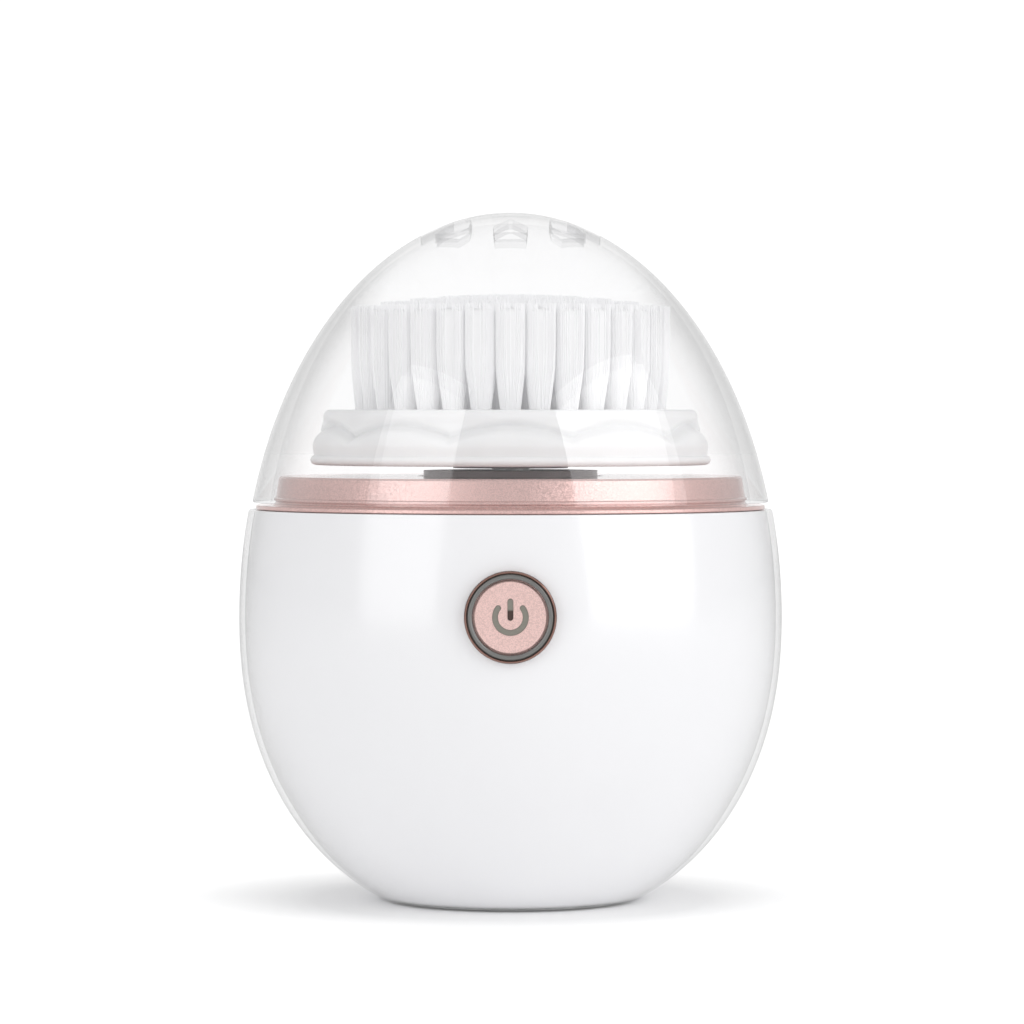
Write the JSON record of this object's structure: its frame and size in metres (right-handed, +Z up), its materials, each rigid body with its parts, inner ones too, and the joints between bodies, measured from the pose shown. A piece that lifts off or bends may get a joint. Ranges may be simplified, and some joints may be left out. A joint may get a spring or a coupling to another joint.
{
  "type": "facial cleansing brush",
  "caption": "Egg-shaped cordless facial cleansing brush: glossy white handset, rose-gold collar and power button, spinning bristle head under a clear vented cap.",
  "frame": {"origin": "middle of the flat foot, where the brush stands", "axes": "+Z up along the egg's own axis, which is also the brush's spin axis; the power button faces -Y"},
  "size_m": [0.072, 0.072, 0.091],
  "materials": {
    "clear_plastic": "clear polished polycarbonate",
    "white_plastic": "glossy white",
    "foot_rubber": "soft matte",
    "rose_gold": "satin rose gold with a fine metallic fleck",
    "smoke_plastic": "glossy dark grey",
    "grey_plastic": "satin warm grey",
    "icon_plastic": "smoked translucent",
    "frosted_plastic": "frosted translucent",
    "bristle": "fine translucent nylon filament",
    "frame_plastic": "moulded light grey",
    "gear_plastic": "natural acetal",
    "seal_rubber": "black nitrile",
    "silicone": "soft milky silicone",
    "steel": "bright zinc or ground steel",
    "bronze": "sintered bronze",
    "brass_pinion": "machined brass",
    "copper": "enamelled copper winding",
    "ferrite": "dark ferrite",
    "board_green": "solder-masked fibreglass",
    "chip_black": "moulded epoxy",
    "plug_nylon": "natural nylon",
    "led_lens": "clear epoxy",
    "cell_wrap": "shrink-wrapped cell",
    "red_wire": "soft insulation",
    "black_wire": "soft insulation"
  },
  "bodies": {
    "handset": {"outer_shell": "clear_plastic", "inner_shell": "white_plastic", "foot_pad": "foot_rubber", "charging_coil": "copper", "ferrite_sheet": "ferrite", "coil_leads": "red_wire", "collar_ring": "rose_gold", "deck_plate": "white_plastic", "deck_seal": "seal_rubber", "deck_screws": "steel", "button_trim": "rose_gold", "button_bezel": "smoke_plastic", "button_diaphragm": "silicone", "button_retainer": "white_plastic", "circuit_board": "board_green", "board_screws": "steel", "tact_switch": "steel", "status_led": "led_lens", "control_chip": "chip_black", "lead_plugs": "plug_nylon", "battery_cell": "cell_wrap", "battery_cradle": "frame_plastic", "battery_leads": "red_wire", "motor_can": "steel", "motor_end_cap": "frame_plastic", "motor_magnets": "ferrite", "motor_terminals": "brass_pinion", "motor_leads": "black_wire", "motor_screws": "steel", "gearbox_base": "frame_plastic", "gearbox_screws": "steel", "idler_axle": "steel", "lower_bush": "bronze", "upper_bush": "bronze", "shaft_seal": "seal_rubber", "seal_retainer": "grey_plastic"},
    "button": {"button_cap": "rose_gold", "button_icon": "icon_plastic"},
    "motor_rotor": {"motor_shaft": "steel", "motor_armature": "copper", "motor_pinion": "brass_pinion"},
    "idler": {"idler_gear": "gear_plastic"},
    "brush_head": {"output_gear": "gear_plastic", "spindle": "steel", "drive_hub": "grey_plastic", "hub_screw": "steel", "brush_carrier": "frosted_plastic", "outer_tufts": "bristle", "middle_tufts": "bristle", "inner_tufts": "bristle"},
    "lid": {"lid": "clear_plastic"}
  },
  "joints": [
    {"name": "lid_lift", "type": "slide", "parent": "handset", "child": "lid", "axis": [0, 0, 1], "range_m": [0, 0.045]},
    {"name": "brush_spin", "type": "hinge", "parent": "handset", "child": "brush_head", "pos_m": [0, 0, 0.052], "axis": [0, 0, 1], "continuous": true},
    {"name": "idler_spin", "type": "hinge", "parent": "handset", "child": "idler", "pos_m": [0, 0.0144, 0.0465], "axis": [0, 0, 1], "continuous": true},
    {"name": "motor_spin", "type": "hinge", "parent": "handset", "child": "motor_rotor", "pos_m": [-0.01333, 0.01083, 0.03], "axis": [0, 0, 1], "continuous": true},
    {"name": "button_press", "type": "slide", "parent": "handset", "child": "button", "axis": [0, 1, 0], "range_m": [0, 0.0004], "stiffness_N_per_m": 5000}
  ],
  "couplings": [
    {"joint": "idler_spin", "follows": "brush_spin", "ratio": -3},
    {"joint": "motor_spin", "follows": "brush_spin", "ratio": 10.8}
  ]
}
